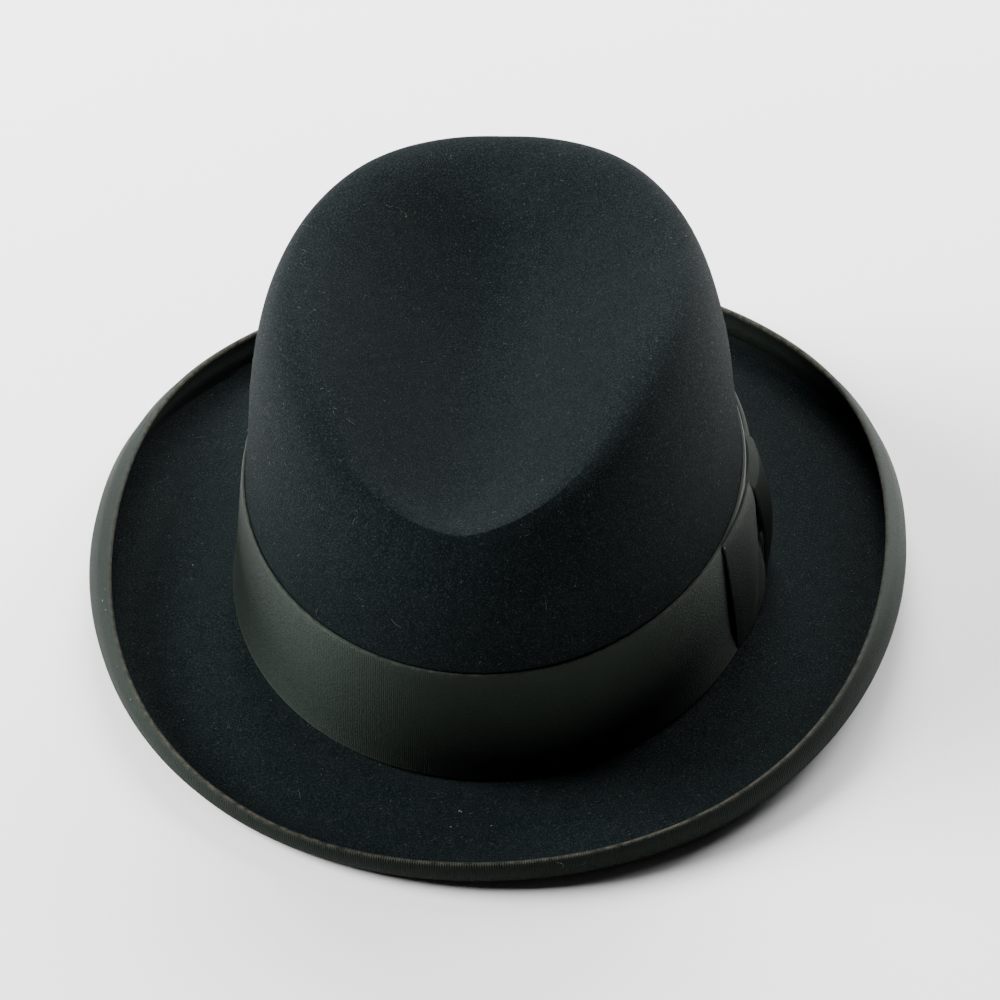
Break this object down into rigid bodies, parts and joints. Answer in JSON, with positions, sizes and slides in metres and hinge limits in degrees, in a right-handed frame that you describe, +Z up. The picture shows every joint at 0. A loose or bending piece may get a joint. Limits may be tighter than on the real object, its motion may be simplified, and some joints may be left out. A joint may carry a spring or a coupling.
{
  "type": "homburg hat",
  "caption": "Homburg hat in dark fur felt with a creased crown, a rolled brim bound in grosgrain, a wide ribbon band and a flat side bow.",
  "frame": {"origin": "on the surface that the hat stands on, under the middle of the brim", "axes": "+Y from the front of the hat to its back, +Z up, +X towards the wearer's left, where the bow is"},
  "size_m": [0.2668, 0.3031, 0.1184],
  "materials": {
    "felt": "short-napped black fur felt with a blue-green cast",
    "band_ribbon": "black grosgrain, fine upright ribs, low sheen",
    "binding_ribbon": "black grosgrain, worn brown along the fold",
    "leather": "plain brown leather, satin"
  },
  "bodies": {
    "root": {"felt_body": "felt", "hat_band": "band_ribbon", "bow_front_loop": "band_ribbon", "bow_back_loop": "band_ribbon", "bow_knot": "band_ribbon", "brim_binding": "binding_ribbon", "sweatband": "leather"}
  },
  "joints": []
}
